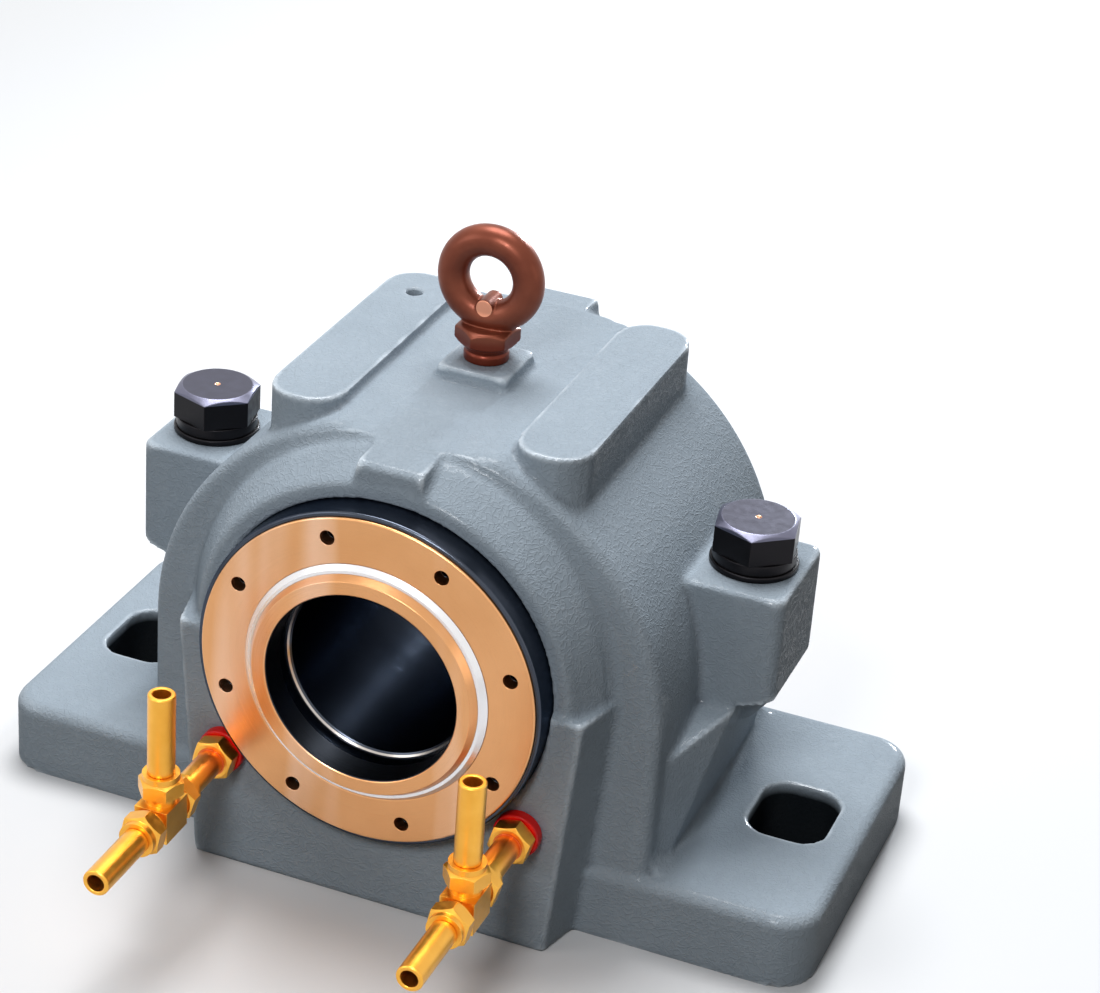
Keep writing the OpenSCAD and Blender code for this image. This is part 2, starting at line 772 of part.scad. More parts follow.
// Puts children on the axis of each roller of the rear row
module each_roller() {
    for (i = [0 : roller_count - 1]) translate([0, 0, shaft_height]) rotate([0, i * 360 / roller_count, 0])
        translate([row_r, row_y, 0]) rotate([0, 0, roller_lean]) rotate([-90, 0, 0]) children();
}

module roller() {
    h = roller_length / 2;
    rotate_extrude($fn = 64) polygon(concat(
        [[0, -h], [roller_profile(h) - 1, -h]],
        [for (i = [-3 : 3]) [roller_profile((h - 1) * i / 3), (h - 1) * i / 3]],
        [[roller_profile(h) - 1, h], [0, h]]
    ));
}

// One-piece brass cage with a window for every roller
module roller_cage() color(brass) difference() {
    about_shaft() translate([cage_in_r, -cage_half]) square([cage_out_r - cage_in_r, 2 * cage_half]);
    for (m = [0, 1]) mirror([0, m, 0]) each_roller() translate([0, 0, -roller_length / 2 - roller_gap])
        cylinder(r = roller_r + roller_gap, h = roller_length + 2 * roller_gap);
}

module rear_rollers() color(bright_steel) each_roller() roller();
module front_rollers() color(bright_steel) front_end() each_roller() roller();

module locating_ring() color(bright_steel) about_shaft() polygon([
    [cage_out_r + 4, bearing_half], [seat_r - seat_gap - 1, bearing_half],
    [seat_r - seat_gap, bearing_half + 1], [seat_r - seat_gap, seat_half - 1],
    [seat_r - seat_gap - 1, seat_half], [cage_out_r + 4, seat_half]
]);

module rear_locating_ring() { locating_ring(); }
module front_locating_ring() { front_end() locating_ring(); }

// Oil fittings

// Places a fitting drawn along +Z so that it runs out of a port, its origin on the panel
module at_port(s) {
    translate([s * port_x, -panel_y, port_height]) rotate([90, 0, 0]) children();
}

// Places a fitting with its origin in the middle of a tee, pointing up
module at_tee(s) {
    translate([s * port_x, -panel_y - tee_reach, port_height]) children();
}

module port_washer(s) color(seal_red) at_port(s) difference() {
    cylinder(d = fitting_hex + 5, h = washer_thick);
    translate([0, 0, -1]) cylinder(r = port_r + 0.2, h = washer_thick + 2);
}

// Threaded nipple with a hexagon and the feed tube in one piece
module port_nipple(s) color(brass) at_port(s) difference() {
    union() {
        translate([0, 0, -port_thread_l])
            cylinder(r = port_r - thread_gap, h = port_thread_l + washer_thick + 1);
        translate([0, 0, washer_thick]) rotate([0, 0, 15]) hex_nut(fitting_hex, port_hex_l);
        translate([0, 0, washer_thick + port_hex_l - 1])
            cylinder(r = feed_r, h = tee_reach - tee_half - washer_thick - port_hex_l + 1);
    }
    translate([0, 0, -port_thread_l - 1]) cylinder(r = feed_bore_r, h = port_thread_l + tee_reach);
}

// Union nut drawn from its outer end at z = 0 towards the fitting, over a tube of radius r
module union_nut(r, length) {
    difference() {
        union() {
            cylinder(r = fitting_hex / 2 - 1, h = nut_collar_l + 1);
            translate([0, 0, nut_collar_l]) hex_nut(fitting_hex, length - nut_collar_l);
        }
        translate([0, 0, -1]) cylinder(r = r + seat_gap, h = length + 2);
    }
}

module feed_nut(s) color(brass) at_port(s) translate([0, 0, tee_reach - tee_half - feed_nut_l])
    rotate([0, 0, 15]) union_nut(feed_r, feed_nut_l);

// Tee with three round arms on a forged block
module tee(s) color(brass) at_tee(s) difference() {
    arm = fitting_hex / 2 - 3;
    block = 2 * arm + 3;
    union() {
        rotate([90, 0, 0]) cylinder(r = arm, h = 2 * tee_half, center = true);
        cylinder(r = arm, h = tee_half);
        cube([block, 2 * tee_half - 6, block], center = true);
    }
    rotate([90, 0, 0]) cylinder(r = feed_bore_r, h = 2 * tee_half + 2, center = true);
    cylinder(r = feed_bore_r, h = tee_half + 1);
}

module front_nut(s) color(brass) at_tee(s) rotate([90, 0, 0]) translate([0, 0, tee_half + end_nut_l])
    mirror([0, 0, 1]) rotate([0, 0, 20]) union_nut(tube_r - tube_step, end_nut_l);

module front_tube(s) color(brass) at_tee(s) rotate([90, 0, 0]) translate([0, 0, tee_half])
    tube(front_tube_reach - tee_half);

module top_nut(s) color(brass) at_tee(s) translate([0, 0, tee_half + end_nut_l])
    mirror([0, 0, 1]) rotate([0, 0, 10]) union_nut(tube_r - tube_step, end_nut_l);

module top_tube(s) color(brass) at_tee(s) translate([0, 0, tee_half]) tube(top_tube_reach - tee_half);

// Open tube along +Z with a chamfered mouth, turned down where its nut sits
module tube(length) {
    stop = end_nut_l + nut_stop;
    rotate_extrude() polygon([
        [bore_r, 0], [tube_r - tube_step, 0], [tube_r - tube_step, stop], [tube_r, stop],
        [tube_r, length - 0.8], [tube_r - 0.8, length], [bore_r + 0.5, length], [bore_r, length - 0.5]
    ]);
}

module left_port_washer() { port_washer(-1); }
module left_port_nipple() { port_nipple(-1); }
module left_feed_nut() { feed_nut(-1); }
module left_tee() { tee(-1); }
module left_front_nut() { front_nut(-1); }
module left_front_tube() { front_tube(-1); }
module left_top_nut() { top_nut(-1); }
module left_top_tube() { top_tube(-1); }
module right_port_washer() { port_washer(1); }
module right_port_nipple() { port_nipple(1); }
module right_feed_nut() { feed_nut(1); }
module right_tee() { tee(1); }
module right_front_nut() { front_nut(1); }
module right_front_tube() { front_tube(1); }
module right_top_nut() { top_nut(1); }
module right_top_tube() { top_tube(1); }

housing_base();
housing_cap();
left_cap_bolt();
right_cap_bolt();
left_bolt_spring_washer();
right_bolt_spring_washer();
left_bolt_washer();
right_bolt_washer();
dowel_pins();
eye_bolt();
front_cover_plate();
front_seal_carrier();
front_seal_ring();
front_shaft_ring();
front_spacer();
rear_cover_plate();
rear_seal_carrier();
rear_seal_ring();
rear_shaft_ring();
rear_spacer();
bore_quill();
lock_nut();
lock_washer();
bearing_inner_ring();
bearing_outer_ring();
roller_cage();
front_rollers();
rear_rollers();
front_locating_ring();
rear_locating_ring();
left_port_washer();
left_port_nipple();
left_feed_nut();
left_tee();
left_front_nut();
left_front_tube();
left_top_nut();
left_top_tube();
right_port_washer();
right_port_nipple();
right_feed_nut();
right_tee();
right_front_nut();
right_front_tube();
right_top_nut();
right_top_tube();
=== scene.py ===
import bpy
import math
import json
import numpy as np
from mathutils import Matrix, Vector


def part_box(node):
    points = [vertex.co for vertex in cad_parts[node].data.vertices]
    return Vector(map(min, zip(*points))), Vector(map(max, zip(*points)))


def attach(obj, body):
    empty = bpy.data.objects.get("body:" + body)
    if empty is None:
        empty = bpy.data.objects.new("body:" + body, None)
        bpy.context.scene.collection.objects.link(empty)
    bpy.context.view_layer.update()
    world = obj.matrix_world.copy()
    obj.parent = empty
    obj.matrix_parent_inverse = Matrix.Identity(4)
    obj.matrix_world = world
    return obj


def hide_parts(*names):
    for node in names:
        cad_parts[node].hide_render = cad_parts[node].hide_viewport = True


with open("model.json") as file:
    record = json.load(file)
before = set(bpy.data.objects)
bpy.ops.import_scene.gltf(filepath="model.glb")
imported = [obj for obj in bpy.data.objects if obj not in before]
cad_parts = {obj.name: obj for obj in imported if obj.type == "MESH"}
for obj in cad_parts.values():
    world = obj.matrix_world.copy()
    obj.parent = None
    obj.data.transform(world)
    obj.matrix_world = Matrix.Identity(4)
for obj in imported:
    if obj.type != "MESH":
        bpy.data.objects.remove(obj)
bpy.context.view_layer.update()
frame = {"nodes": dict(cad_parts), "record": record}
nodes = frame["nodes"]
scene = bpy.context.scene
mm = 0.001
shaftZ = 170 * mm  # height of the shaft axis


# shader maths

class Wire:  # a socket that works in sums with other sockets and numbers
    def __init__(self, board, socket):
        self.board, self.socket = board, socket

    def calc(self, kind, a, b=0.0):
        return self.board.node("ShaderNodeMath", {"operation": kind}, {0: a, 1: b})

    def __add__(self, other): return self.calc("ADD", self, other)
    def __radd__(self, other): return self.calc("ADD", other, self)
    def __sub__(self, other): return self.calc("SUBTRACT", self, other)
    def __rsub__(self, other): return self.calc("SUBTRACT", other, self)
    def __mul__(self, other): return self.calc("MULTIPLY", self, other)
    def __rmul__(self, other): return self.calc("MULTIPLY", other, self)
    def __pow__(self, other): return self.calc("POWER", self, other)
    def __rpow__(self, other): return self.calc("POWER", other, self)
    def __gt__(self, other): return self.calc("GREATER_THAN", self, other)
    def __lt__(self, other): return self.calc("LESS_THAN", self, other)
    def __abs__(self): return self.calc("ABSOLUTE", self)

    def hypot(self, other):
        return (self * self + other * other) ** 0.5


class Board:  # a node tree and the nodes that recur in it
    def __init__(self, tree):
        self.tree = tree

    def node(self, kind, settings, inputs, out=0):
        made = self.tree.nodes.new(kind)
        for key, value in settings.items():
            setattr(made, key, value)
        for key, value in inputs.items():
            socket = made.inputs[key]
            if isinstance(value, Wire):
                self.tree.links.new(value.socket, socket)
            elif socket.type == "RGBA" and len(value) == 3:
                socket.default_value = (*value, 1)
            else:
                socket.default_value = value
        return Wire(self, made.outputs[out])

    def place(self):  # Object coordinates, in metres
        return self.node("ShaderNodeTexCoord", {}, {}, "Object")

    def axis(self, name):
        return self.node("ShaderNodeSeparateXYZ", {}, {"Vector": self.place()}, name)

    def attribute(self, name):
        return self.node("ShaderNodeAttribute", {"attribute_name": name}, {}, "Fac")

    def noise(self, scale, detail=3, rough=0.5, at=None):
        inputs = {"Vector": at or self.place(), "Scale": scale, "Detail": detail, "Roughness": rough}
        return self.node("ShaderNodeTexNoise", {}, inputs)

    def spread(self, value, low, high, toLow=0.0, toHigh=1.0):  # maps low..high to toLow..toHigh, clamped
        inputs = {"Value": value, "From Min": low, "From Max": high, "To Min": toLow, "To Max": toHigh}
        return self.node("ShaderNodeMapRange", {"clamp": True}, inputs)

    def blend(self, amount, a, b):
        return self.node("ShaderNodeMix", {"data_type": "RGBA"}, {0: amount, 6: a, 7: b}, 2)

    def bump(self, height, distance, strength=1.0, under=None):
        inputs = {"Height": height, "Distance": distance, "Strength": strength}
        if under:
            inputs["Normal"] = under
        return self.node("ShaderNodeBump", {}, inputs)

    def vector(self, kind, a, b, out=0):
        return self.node("ShaderNodeVectorMath", {"operation": kind}, {0: a, 1: b}, out)

    def radius(self):  # distance from the shaft axis
        fromAxis = self.vector("SUBTRACT", self.place(), (0, 0, shaftZ))
        return self.node("ShaderNodeVectorMath", {"operation": "LENGTH"},
                         {0: self.vector("MULTIPLY", fromAxis, (1, 0, 1))}, "Value")

    def turned(self, scale):  # noise that runs in rings about the shaft axis, on faces and in bores
        slant = 0.73  # share of the way along the shaft, so that bores and cones get rings too
        lined = self.node("ShaderNodeCombineXYZ", {}, {"X": (self.radius() + self.axis("Y") * slant) * scale})
        return self.noise(1.0, 4, 0.7, lined)

    def reflectionBands(self, scale):  # broad upright bands, leaning a little, for painted reflections
        lean = 0.08
        along = {"X": self.axis("X") * scale, "Y": self.axis("Z") * (scale * lean)}
        return self.noise(1.0, 2, 0.5, self.node("ShaderNodeCombineXYZ", {}, along))

    def seen(self):  # 1 for the rays that show the background, 0 for the rays that light things
        direct, mirror, clear = (self.node("ShaderNodeLightPath", {}, {}, name)
                                 for name in ("Is Camera Ray", "Is Glossy Ray", "Is Transmission Ray"))
        return self.spread(direct + mirror + clear, 0, 1)


class Paint(Board):  # one material
    def __init__(self, name, **fixed):
        self.mat = bpy.data.materials.new(name)
        self.mat.use_nodes = True
        super().__init__(self.mat.node_tree)
        self.shader = self.tree.nodes["Principled BSDF"]
        for key, value in fixed.items():
            socket = self.shader.inputs[key.replace("_", " ")]
            socket.default_value = (*value, 1) if socket.type == "RGBA" else value

    def feed(self, name, wire):
        self.tree.links.new(wire.socket, self.shader.inputs[name])

    def feedRough(self, pattern, limits):  # roughness between the two limits
        self.feed("Roughness", self.spread(pattern, 0.3, 0.7, *limits))


# materials

castPaint = {
    # the lighter edge colour is a painted highlight on the rounded edges
    "face": (0.325, 0.378, 0.428), "shade": (0.298, 0.348, 0.395), "paintedEdgeHighlight": (0.60, 0.67, 0.73),
    # the dark corner colour is painted shade in the concave corners, and the near-black colour painted shade inside
    # the foot slots
    "hollow": (0.12, 0.14, 0.165), "curl": (0.36, 0.415, 0.465), "slot": (0.012, 0.015, 0.018),
    "edge": (0.14, 0.5),  # bend at which the painted edge highlight and the edge gloss start, and at which they are full
    "skin": 230, "wobble": 170, "push": 0.011,  # scales of the curled skin, and how far it curls in metres
    "skinHeight": 0.3 * mm, "swell": 0.8 * mm,
    "rough": (0.38, 0.5), "coat": (0.06, 1.0),
}
# the painted shade inside the foot slots deepens from the first dark height down to the second
footSlot = {"x": 232 * mm, "halfLong": 27 * mm, "halfWide": 33 * mm, "dark": (48 * mm, 41 * mm)}


def paintCasting():  # satin enamel over a fine curled cast skin, glossier on its edges, with a painted highlight on the edges and painted shade in the corners and in the foot slots
    p = Paint("greyEnamel", Coat_Roughness=0.16, Specular_IOR_Level=0.0)
    bend = p.attribute("bend")
    edge = p.spread(bend, *castPaint["edge"]) * p.spread(p.noise(45, 3), 0.3, 0.55, 0.5, 1)
    wobbled = {"Vector": p.place(), "Scale": castPaint["wobble"], "Detail": 2}
    wobble = p.node("ShaderNodeTexNoise", {}, wobbled, "Color")
    pushed = p.node("ShaderNodeVectorMath", {"operation": "SCALE"}, {0: wobble, "Scale": castPaint["push"]})
    curled = {"Vector": p.vector("ADD", p.place(), pushed), "Scale": castPaint["skin"]}
    curl = p.spread(p.node("ShaderNodeTexVoronoi", {"feature": "DISTANCE_TO_EDGE"}, curled), 0.16, 0.0)
    tone = p.blend(p.spread(p.noise(9, 3), 0.35, 0.65), castPaint["shade"], castPaint["face"])
    # lighter curl lines: the cast skin's grain, and also painted glints
    tone = p.blend(curl * p.spread(p.noise(70, 2), 0.35, 0.65, 0.1, 0.5), tone, castPaint["curl"])
    # painted shade in the concave corners
    tone = p.blend(p.spread(bend, -0.1, -0.5, 0, 0.8), tone, castPaint["hollow"])
    # painted highlight on the rounded edges
    tone = p.blend(edge, tone, castPaint["paintedEdgeHighlight"])
    # painted shade inside the foot slots, darker towards the bottom
    inLength = abs(abs(p.axis("X")) - footSlot["x"]) < footSlot["halfLong"]
    inSlot = inLength * (abs(p.axis("Y")) < footSlot["halfWide"])
    slotShadeMask = p.spread(p.axis("Z"), *footSlot["dark"]) * inSlot
    p.feed("Base Color", p.blend(slotShadeMask, tone, castPaint["slot"]))
    p.feed("Coat Weight", p.spread(edge + curl * 0.25 - slotShadeMask, 0, 1, *castPaint["coat"]))
    p.feedRough(p.noise(120, 3), castPaint["rough"])
    grain = p.bump(curl + p.noise(420, 2) * 0.3, castPaint["skinHeight"], 0.8)
    p.feed("Normal", p.bump(p.noise(60, 2), castPaint["swell"], 0.2, grain))
    return p.mat


glossSteel = {
    "tone": (0.036, 0.041, 0.053), "light": (0.082, 0.095, 0.122), "edge": (0.55, 0.50, 0.46),
    "rough": (0.16, 0.24), "tint": (0.45, 0.49, 0.56),
}
quill = {"end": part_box("bore_quill")[1][1], "chamfer": 1.0 * mm, "rim": 62.2 * mm}


def blackSteel():  # the quill's chamfered ends are bare and bright
    p = Paint("blackenedSteel", Metallic=1.0, Specular_Tint=glossSteel["tint"])
    rings = p.turned(1500)
    tone = p.blend(p.noise(30, 2), glossSteel["tone"], glossSteel["light"])
    reach = abs(p.axis("Y"))
    atEnd = (reach > quill["end"] - quill["chamfer"]) * (reach < quill["end"] + 0.1 * mm)
    bare = atEnd * (p.radius() < quill["rim"])
    p.feed("Base Color", p.blend(bare, tone, glossSteel["edge"]))
    p.feedRough(rings, glossSteel["rough"])
    p.feed("Normal", p.bump(rings, 0.12 * mm, 0.8))
    return p.mat


bronzeMetal = {
    # the light band colour is a painted reflection
    "tone": (0.78, 0.40, 0.18), "dark": (0.70, 0.345, 0.145), "paintedReflection": (0.92, 0.62, 0.44), "rough": (0.24, 0.36),
}
ringBore = min(math.hypot(v.co.x, v.co.z - shaftZ) for v in nodes["front_shaft_ring"].data.vertices)


def turnedBronze():  # the shaft rings' bores are blackened, and lighter upright bands are painted reflections
    p = Paint("turnedBronze", Metallic=1.0)
    rings = p.turned(5200)
    tone = p.blend(p.spread(p.noise(16, 3), 0.35, 0.7), bronzeMetal["tone"], bronzeMetal["dark"])
    # painted reflection: lighter upright bands across the faces
    tone = p.blend(p.spread(p.reflectionBands(26), 0.52, 0.66, 0, 0.6), tone, bronzeMetal["paintedReflection"])
    p.feed("Base Color", p.blend(p.radius() < ringBore + 0.6 * mm, tone, glossSteel["tone"]))
    p.feedRough(rings, bronzeMetal["rough"])
    p.feed("Normal", p.bump(rings, 0.05 * mm, 0.7))
    return p.mat


boltSteel = {
    # the blue-grey top colour is a painted sheen where the heads face up, the lighter chamfer colour a painted
    # highlight
    "side": (0.014, 0.013, 0.015), "top": (0.075, 0.075, 0.105), "chamfer": (0.16, 0.16, 0.22),
    "dot": (0.85, 0.45, 0.28), "rough": (0.3, 0.42),
}
boltLow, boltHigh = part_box("right_cap_bolt")
bolt = {"x": (boltLow[0] + boltHigh[0]) / 2, "top": boltHigh[2], "turn": math.radians(28),  # further turn of the heads
        "chamfer": 3.6 * mm, "disc": 22.6 * mm, "dot": 2.0 * mm}


def blackOxide():  # bolts and washers: black on the flats, a painted highlight on the heads' chamfers, a painted blue-grey sheen on top of the heads, a copper dot
    p = Paint("blackOxide", Metallic=0.85)
    level = p.axis("Z")
    out = (abs(p.axis("X")) - bolt["x"]).hypot(p.axis("Y"))
    foot = bolt["top"] - bolt["chamfer"]
    # painted highlight from the chamfer upwards
    tone = p.blend(p.spread(level, foot, foot + 0.3 * mm), boltSteel["side"], boltSteel["chamfer"])
    # painted sheen on the top of each head
    disc = p.spread(level, bolt["top"] - 0.9 * mm, bolt["top"] - 0.5 * mm) * (out < bolt["disc"])
    tone = p.blend(disc, tone, boltSteel["top"])
    dot = (level > bolt["top"] - 3 * mm) * (out < bolt["dot"])
    p.feed("Base Color", p.blend(dot, tone, boltSteel["dot"]))
    p.feedRough(p.noise(200, 3), boltSteel["rough"])
    p.feed("Normal", p.bump(p.noise(700, 2), 0.1 * mm, 0.15))
    return p.mat


eyeEnamel = {
    "tone": (0.25, 0.068, 0.036), "dark": (0.17, 0.040, 0.02), "foot": (0.17, 0.028, 0.012),
    # the light stub colour is bare copper, painted lighter as a highlight
    "flat": (0.86, 0.36, 0.22), "rough": (0.3, 0.42),
}
eye = {
    "centre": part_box("eye_bolt")[1][2] - 35 * mm, "foot": (-35 * mm, -39 * mm),  # foot's heights from the centre
    "stub": 5.6 * mm, "drop": 17.2 * mm, "reach": 9.2 * mm,  # round stub inside the foot of the eye
}


def eyePaint():  # the stub's front end is bare copper, painted lighter as a highlight
    p = Paint("copperEnamel", Metallic=0.55, Specular_IOR_Level=0.25, Coat_Weight=0.06, Coat_Roughness=0.16)
    tone = p.blend(p.spread(p.noise(35, 3), 0.35, 0.65), eyeEnamel["dark"], eyeEnamel["tone"])
    level = p.axis("Z")
    foot = [eye["centre"] + height for height in eye["foot"]]
    tone = p.blend(p.spread(level, *foot), tone, eyeEnamel["foot"])
    out = p.axis("X").hypot(level - (eye["centre"] - eye["drop"]))
    # painted highlight on the bare front end of the stub
    bare = (out < eye["stub"] - 0.3 * mm) * (p.axis("Y") < 0.6 * mm - eye["reach"])
    p.feed("Base Color", p.blend(bare, tone, eyeEnamel["flat"]))
    p.feedRough(p.noise(150, 3), eyeEnamel["rough"])
    p.feed("Normal", p.bump(p.noise(180, 2), 0.3 * mm, 0.15))
    return p.mat


brassMetal = {
    # the red colour is a painted reflection of the red washers
    "tone": (0.93, 0.48, 0.07), "dark": (0.87, 0.42, 0.05), "washerReflection": (0.70, 0.13, 0.03), "rough": (0.3, 0.4),
}
washerLow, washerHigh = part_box("right_port_washer")
port = {"x": (washerLow[0] + washerHigh[0]) / 2, "z": (washerLow[2] + washerHigh[2]) / 2, "front": washerLow[1],
        "tube": 9.5 * mm, "washerReflection": (42 * mm, 14 * mm)}  # the painted reflection of the red washer fades in over these distances from it


def goldBrass():  # a painted reflection of the red washers makes the tubes beside them redder
    p = Paint("goldBrass", Metallic=1.0, Coat_Weight=0.25, Coat_Roughness=0.12)
    tone = p.blend(p.spread(p.noise(60, 3), 0.35, 0.65), brassMetal["tone"], brassMetal["dark"])
    onTube = (abs(p.axis("X")) - port["x"]).hypot(p.axis("Z") - port["z"]) < port["tube"]
    start, full = (port["front"] - distance for distance in port["washerReflection"])
    # painted reflection of the red washer on the tube beside it
    near = p.spread(p.axis("Y"), start, full, 0, 0.85) * onTube
    p.feed("Base Color", p.blend(near, tone, brassMetal["washerReflection"]))
    p.feedRough(p.noise(300, 3), brassMetal["rough"])
    p.feed("Normal", p.bump(p.noise(350, 2), 0.1 * mm, 0.06))
    return p.mat


sealWhite = {"tone": (0.90, 0.905, 0.93), "light": (0.96, 0.96, 0.97)}


def whiteSeal():
    p = Paint("whiteSeal", Metallic=0.8, Roughness=0.26)
    p.feed("Base Color", p.blend(p.noise(90, 2), sealWhite["tone"], sealWhite["light"]))
    p.feed("Normal", p.bump(p.turned(2500), 0.06 * mm, 0.3))
    return p.mat


washerRed = {"tone": (0.86, 0.006, 0.004), "light": (0.96, 0.014, 0.010)}


def redSeal():
    p = Paint("redSeal", Roughness=0.3, Coat_Weight=0.1, Specular_IOR_Level=0.2)
    p.feed("Base Color", p.blend(p.noise(80, 2), washerRed["tone"], washerRed["light"]))
    p.feed("Normal", p.bump(p.noise(300, 2), 0.1 * mm, 0.15))
    return p.mat


bareSteel = {"tone": (0.52, 0.53, 0.55), "light": (0.64, 0.65, 0.67), "rough": (0.18, 0.3)}


def groundSteel():
    p = Paint("groundSteel", Metallic=1.0)
    rings = p.turned(4000)
    p.feed("Base Color", p.blend(p.noise(25, 2), bareSteel["tone"], bareSteel["light"]))
    p.feedRough(rings, bareSteel["rough"])
    p.feed("Normal", p.bump(rings, 0.03 * mm, 0.4))
    return p.mat


finishes = {
    "paint": paintCasting(), "blackened": blackOxide(), "black_gloss": blackSteel(), "steel": groundSteel(),
    "bronze": turnedBronze(), "white_seal": whiteSeal(), "eye_paint": eyePaint(), "brass": goldBrass(),
    "red_washer": redSeal(),
}
slotOf = {s["node"]: s["material_slot"] for s in frame["record"]["subparts"]}


def dress(obj, slotName):
    obj.data.materials.clear()
    obj.data.materials.append(finishes[slotName])


for name, obj in nodes.items():
    dress(obj, slotOf[name])
print("materials on", len(nodes), "nodes")


# working with meshes

def clearSelection():
    if bpy.context.object and bpy.context.object.mode != "OBJECT":
        bpy.ops.object.mode_set(mode="OBJECT")
    bpy.ops.object.select_all(action="DESELECT")


def activate(obj):
    clearSelection()
    obj.select_set(True)
    bpy.context.view_layer.objects.active = obj


def mergedCopy(node, name):  # a copy of a CAD node with its loose triangles joined up
    obj = nodes[node].copy()
    obj.data = nodes[node].data.copy()
    for key in list(obj.keys()):
        del obj[key]
    obj.name = obj.data.name = name
    obj.parent = None
    obj.matrix_world = Matrix.Identity(4)
    scene.collection.objects.link(obj)
    activate(obj)
    bpy.ops.object.mode_set(mode="EDIT")
    bpy.ops.mesh.select_all(action="SELECT")
    bpy.ops.mesh.remove_doubles(threshold=0.02 * mm)
    bpy.ops.object.mode_set(mode="OBJECT")
    return obj


def modify(obj, kind, **settings):  # adds a modifier and applies it, and leaves obj active
    mod = obj.modifiers.new(kind.lower(), kind)
    for key, value in settings.items():
        setattr(mod, key, value)
    activate(obj)
    bpy.ops.object.modifier_apply(modifier=mod.name)


def settle(obj, node, body):
    dress(obj, slotOf[node])
    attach(obj, body)
    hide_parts(node)


# the two castings, softened as one and cut at the joint, so that paint closes the joint

casting = {"voxel": 1.9 * mm, "rounds": 4, "triangles": 330000, "smooth": math.radians(50),
           "bendRounds": 5, "fullBend": 2.5 * mm}  # the bend of an edge rounded to 2.5 mm counts as 1


def joinedCasting():
    whole = mergedCopy("housing_base", "casting")
    cap = mergedCopy("housing_cap", "capBlank")
    modify(whole, "BOOLEAN", operation="UNION", solver="EXACT", object=cap)
    bpy.data.objects.remove(cap)
    modify(whole, "REMESH", mode="VOXEL", voxel_size=casting["voxel"])
    modify(whole, "SMOOTH", factor=0.5, iterations=casting["rounds"])
    count = sum(len(p.vertices) - 2 for p in whole.data.polygons)
    modify(whole, "DECIMATE", ratio=min(1, casting["triangles"] / count))
    print("casting", count, "->", len(whole.data.polygons))
    return whole


def markBends(mesh):  # vertex attribute "bend": up to 1 on rounded edges, 0 on flats, down to -1 in corners
    count = len(mesh.vertices)
    place, normal = np.empty(count * 3, np.float32), np.empty(count * 3, np.float32)
    mesh.vertices.foreach_get("co", place)
    mesh.vertices.foreach_get("normal", normal)
    place, normal = place.reshape(-1, 3), normal.reshape(-1, 3)
    pairs = np.empty(len(mesh.edges) * 2, np.int32)
    mesh.edges.foreach_get("vertices", pairs)
    a, b = pairs.reshape(-1, 2).T
    way = place[b] - place[a]
    square = (way ** 2).sum(1) + 1e-12
    ends = np.bincount(a, minlength=count) + np.bincount(b, minlength=count)

    def gather(toA, toB):  # mean over each vertex's edges
        return (np.bincount(a, toA, count) + np.bincount(b, toB, count)) / ends

    bend = gather(-2 * (normal[a] * way).sum(1) / square, 2 * (normal[b] * way).sum(1) / square)
    for _ in range(casting["bendRounds"]):
        bend = 0.5 * bend + 0.5 * gather(bend[b], bend[a])
    bend = np.clip(bend * casting["fullBend"], -1, 1).astype(np.float32)
    mesh.attributes.new("bend", "FLOAT", "POINT").data.foreach_set("value", bend)


def halfCasting(whole, node, name, side):  # side is -1 below the joint and 1 above it
    half = whole.copy()
    half.data = whole.data.copy()
    half.name = half.data.name = name
    scene.collection.objects.link(half)
    clearSelection()
    bpy.ops.mesh.primitive_cube_add(size=2, location=(0, 0, shaftZ + side))
    block = bpy.context.object
    modify(half, "BOOLEAN", operation="INTERSECT", solver="FAST", object=block)
    bpy.data.objects.remove(block)
    activate(half)
    bpy.ops.object.shade_smooth_by_angle(angle=casting["smooth"])
    settle(half, node, "housing")
    print(name, len(half.data.polygons))


whole = joinedCasting()
markBends(whole.data)
halfCasting(whole, "housing_base", "baseCasting", -1)
halfCasting(whole, "housing_cap", "capCasting", 1)
bpy.data.objects.remove(whole)


# eye bolt: one soft forging, with the round stub inside the foot of the eye

forging = {"voxel": 0.7 * mm, "rounds": 3}


def forgedEye():
    obj = mergedCopy("eye_bolt", "forgedEye")
    clearSelection()
    bpy.ops.mesh.primitive_cylinder_add(vertices=48, radius=eye["stub"], depth=2 * eye["reach"],
                                        location=(0, 0, eye["centre"] - eye["drop"]), rotation=(math.pi / 2, 0, 0))
    peg = bpy.context.object
    modify(obj, "BOOLEAN", operation="UNION", solver="EXACT", object=peg)
    bpy.data.objects.remove(peg)
    modify(obj, "REMESH", mode="VOXEL", voxel_size=forging["voxel"])
    modify(obj, "SMOOTH", factor=0.5, iterations=forging["rounds"])
    bpy.ops.object.shade_smooth()
    settle(obj, "eye_bolt", "housing")
    print("eye bolt", len(obj.data.polygons))


forgedEye()


# smaller parts: merged copies of the solids, their edges broken as a machinist leaves them

edges = {"dissolve": math.radians(2), "sharp": math.radians(28), "smooth": math.radians(35), "flatness": 80}
turnedWidths = {"cover_plate": (0.4, "housing"), "seal_carrier": (0.5, "housing"), "shaft_ring": (0.4, "rotor")}
sideWidths = {  # width of each part's broken edges in mm
    "cap_bolt": 0.9, "bolt_spring_washer": 0.9, "bolt_washer": 0.9, "port_washer": 1.5, "port_nipple": 0.5,
    "feed_nut": 0.6, "tee": 0.9, "front_nut": 0.6, "front_tube": 0.5, "top_nut": 0.6, "top_tube": 0.5,
}


def turnHead(mesh):  # turns a cap bolt about its own axis
    x = math.copysign(bolt["x"], mesh.vertices[0].co.x)
    turn = Matrix.Rotation(bolt["turn"], 4, "Z")
    mesh.transform(Matrix.Translation((x, 0, 0)) @ turn @ Matrix.Translation((-x, 0, 0)))


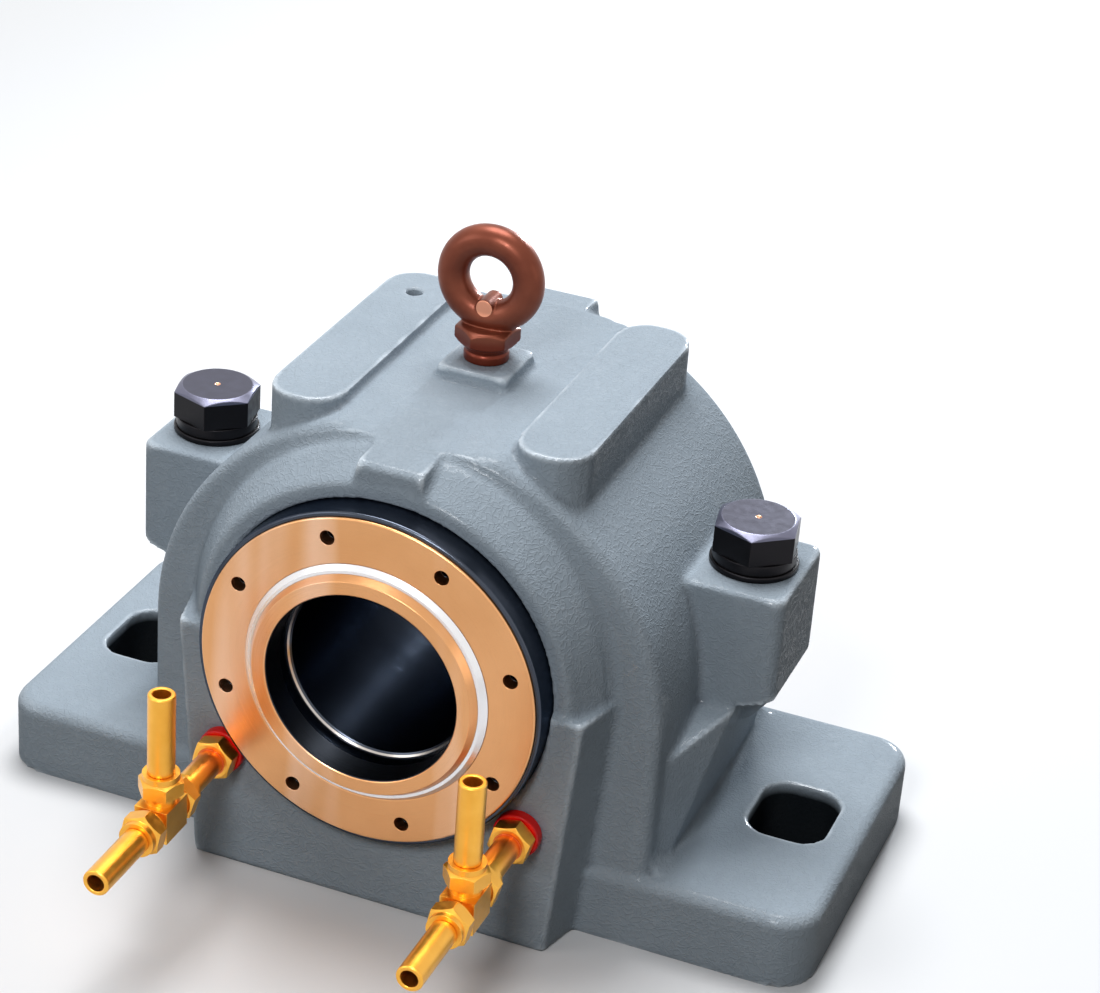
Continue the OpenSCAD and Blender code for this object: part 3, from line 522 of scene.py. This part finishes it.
def brokenEdges(node, width, body):
    obj = mergedCopy(node, node + "_made")
    if "cap_bolt" in node:
        turnHead(obj.data)
    bpy.ops.object.mode_set(mode="EDIT")
    bpy.ops.mesh.select_all(action="SELECT")
    bpy.ops.mesh.dissolve_limited(angle_limit=edges["dissolve"])
    bpy.ops.object.mode_set(mode="OBJECT")
    modify(obj, "BEVEL", width=width * mm, segments=2, limit_method="ANGLE", angle_limit=edges["sharp"])
    bpy.ops.object.shade_smooth_by_angle(angle=edges["smooth"])
    modify(obj, "WEIGHTED_NORMAL", keep_sharp=True, weight=edges["flatness"])  # keeps the wide faces flat
    settle(obj, node, body)


for name, (width, body) in turnedWidths.items():
    for end in ("front", "rear"):
        brokenEdges(end + "_" + name, width, body)
for side in ("left", "right"):
    for name, width in sideWidths.items():
        brokenEdges(side + "_" + name, width, "housing")
print("softened", 2 * (len(turnedWidths) + len(sideWidths)), "parts")


# stage, light and camera

lamps = [  # name, place in metres, size, watts, colour
    ("topLamp", (-0.3, 0.5, 2.2), 1.3, 49, (0.975, 0.985, 1.0)),
    ("frontLamp", (0.15, -1.9, 1.7), 0.6, 20, (0.97, 0.985, 1.0)),
    ("keyLamp", (-1.7, -1.5, 1.3), 1.2, 8, (0.97, 0.985, 1.0)),
    ("boreLamp", (0.14, 2.2, 0.84), 0.26, 34, (0.88, 0.94, 1.0)),
    ("warmLamp", (2.3, -0.4, 0.7), 0.8, 1.5, (1.0, 0.82, 0.66)),
]
lampAim = (0, 0, 150 * mm)
air = {"light": (0.85, 0.92, 1.0), "strength": 0.10}
floorPaint = {"seen": (0.76, 0.76, 0.765), "bounce": (0.105, 0.10, 0.092),
              "size": 6, "near": 0.9, "far": 2.4}  # the floor thins out from near to far
view = {  # angles in degrees, target and distance in mm
    "azimuth": 19.7, "elevation": 28.1, "roll": 4.4, "target": (48.9, 0.7, 231.8), "distance": 1895,
    "lens": 98.2, "sensor": 36, "clip": (0.05, 50),
}


def lightScene():
    for name, place, size, watts, colour in lamps:
        lamp = bpy.data.lights.new(name, "AREA")
        lamp.shape, lamp.size, lamp.energy, lamp.color = "DISK", size, watts, colour
        obj = bpy.data.objects.new(name, lamp)
        obj.location = place
        obj.rotation_euler = (Vector(lampAim) - obj.location).to_track_quat("-Z", "Y").to_euler()
        scene.collection.objects.link(obj)
    world = bpy.data.worlds.new("studio")
    scene.world = world
    world.use_nodes = True
    board = Board(world.node_tree)
    back = world.node_tree.nodes["Background"]
    seen = board.seen()
    board.tree.links.new(board.blend(seen, air["light"], (1, 1, 1)).socket, back.inputs["Color"])
    board.tree.links.new(board.spread(seen, 0, 1, air["strength"], 1.0).socket, back.inputs["Strength"])


def paleFloor():
    clearSelection()
    bpy.ops.mesh.primitive_plane_add(size=floorPaint["size"], location=(0, 0, 0))
    floor = bpy.context.object
    floor.name = "floor"
    p = Paint("paleFloor", Roughness=0.9, Specular_IOR_Level=0.1)
    p.feed("Base Color", p.blend(p.seen(), floorPaint["bounce"], floorPaint["seen"]))
    away = p.axis("X").hypot(p.axis("Y"))
    p.feed("Alpha", p.spread(away, floorPaint["near"], floorPaint["far"], 1, 0))
    floor.data.materials.append(p.mat)


def placeCamera():
    a, e, r = (math.radians(view[k]) for k in ("azimuth", "elevation", "roll"))
    back = Vector((math.sin(a) * math.cos(e), -math.cos(a) * math.cos(e), math.sin(e)))
    cam = bpy.data.objects.new("camera", bpy.data.cameras.new("camera"))
    scene.collection.objects.link(cam)
    cam.data.sensor_width, cam.data.lens = view["sensor"], view["lens"]
    cam.data.clip_start, cam.data.clip_end = view["clip"]
    cam.location = Vector(view["target"]) * mm + back * view["distance"] * mm
    level = Vector((math.cos(a), math.sin(a), 0))
    right = level * math.cos(r) + back.cross(level) * math.sin(r)
    cam.rotation_mode = "QUATERNION"
    cam.rotation_quaternion = Matrix((right, back.cross(right), back)).transposed().to_quaternion()
    scene.camera = cam


lightScene()
paleFloor()
placeCamera()
scene.view_settings.view_transform = "Standard"
print("stage, light and camera")
